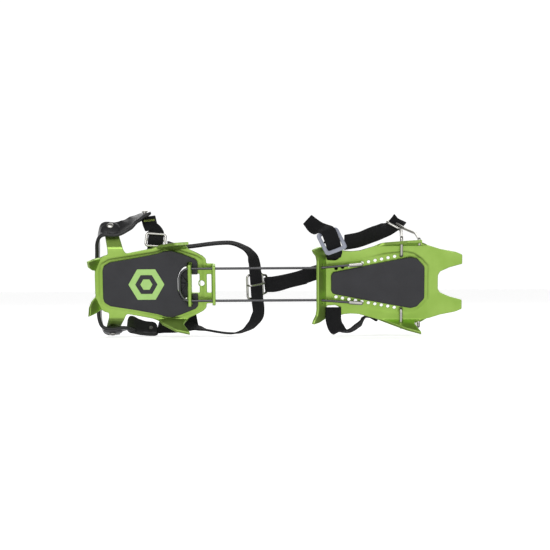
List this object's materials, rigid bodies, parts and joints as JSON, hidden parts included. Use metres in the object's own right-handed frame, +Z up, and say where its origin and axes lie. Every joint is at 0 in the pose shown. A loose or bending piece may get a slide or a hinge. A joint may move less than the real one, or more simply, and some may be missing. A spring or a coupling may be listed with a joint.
{
  "type": "crampon",
  "caption": "Strap-on crampon: two pointed sheet-metal halves on an adjustable wire link, with anti-ball plates, heel cradle and webbing harness.",
  "frame": {"origin": "under the middle of the crampon, which stands on its side on the floor", "axes": "+X from heel to toe, +Z up from the floor, +Y towards the boot side; the plates lean back 13 degrees from upright, top towards -Y"},
  "size_m": [0.373, 0.1049, 0.1291],
  "materials": {
    "green_sheet": "anodised satin",
    "black_plate": "fine moulded texture",
    "badge": "satin inlay",
    "spring_wire": "dark drawn wire",
    "bright_steel": "polished stainless",
    "black_webbing": "woven",
    "black_band": "soft moulded polymer",
    "grey_buckle": "satin coated"
  },
  "bodies": {
    "heel": {"heel_frame": "green_sheet", "heel_anti_ball_plate": "black_plate", "heel_badge": "badge", "link_wire": "spring_wire", "link_end_left": "bright_steel", "link_end_right": "bright_steel", "cradle_bush_left": "bright_steel", "cradle_bush_right": "bright_steel", "cradle_rivet_left": "bright_steel", "cradle_rivet_right": "bright_steel", "ankle_strap_right": "black_webbing", "ankle_strap_front": "black_webbing", "ankle_strap_left": "black_webbing"},
    "cradle": {"heel_cradle": "black_band", "strap_rivet_left": "bright_steel", "strap_rivet_right": "bright_steel", "heel_strap_right": "black_webbing"},
    "heel_buckle": {"heel_buckle_frame": "bright_steel", "heel_buckle_bar": "bright_steel"},
    "front": {"front_frame": "green_sheet", "front_anti_ball_plate": "black_plate", "toe_bail_left": "bright_steel", "toe_bail_right": "bright_steel", "instep_strap": "black_webbing", "toe_strap_left": "black_webbing", "toe_strap_right": "black_webbing", "toe_buckle_anchor": "black_webbing"},
    "toe_buckle": {"toe_buckle_frame": "grey_buckle", "toe_buckle_bar": "bright_steel", "toe_strap_tail": "black_webbing"},
    "instep_slide": {"instep_slide": "bright_steel"}
  },
  "joints": [
    {"name": "length_adjust", "type": "slide", "parent": "heel", "child": "front", "axis": [1, 0, 0], "range_m": [-0.0455, 0.0195], "deforming": ["instep_strap"]},
    {"name": "cradle_pivot", "type": "hinge", "parent": "heel", "child": "cradle", "pos_m": [-0.165, -0.0002, 0.05831], "axis": [0, -0.225, 0.9744], "range_deg": [0, 12], "deforming": ["ankle_strap_right", "ankle_strap_left"]},
    {"name": "heel_buckle_tilt", "type": "hinge", "parent": "cradle", "child": "heel_buckle", "pos_m": [-0.11907, -0.01135, 0.10384], "axis": [0.9968, 0.0179, -0.0777], "range_deg": [-15, 15]},
    {"name": "toe_buckle_tilt", "type": "hinge", "parent": "front", "child": "toe_buckle", "pos_m": [0.06112, -0.03576, 0.08578], "axis": [0.8872, 0.3221, 0.3304], "range_deg": [0, 25]},
    {"name": "slide_on_strap", "type": "slide", "parent": "heel", "child": "instep_slide", "axis": [0.0248, 0.196, -0.9803], "range_m": [-0.006, 0.006]}
  ]
}
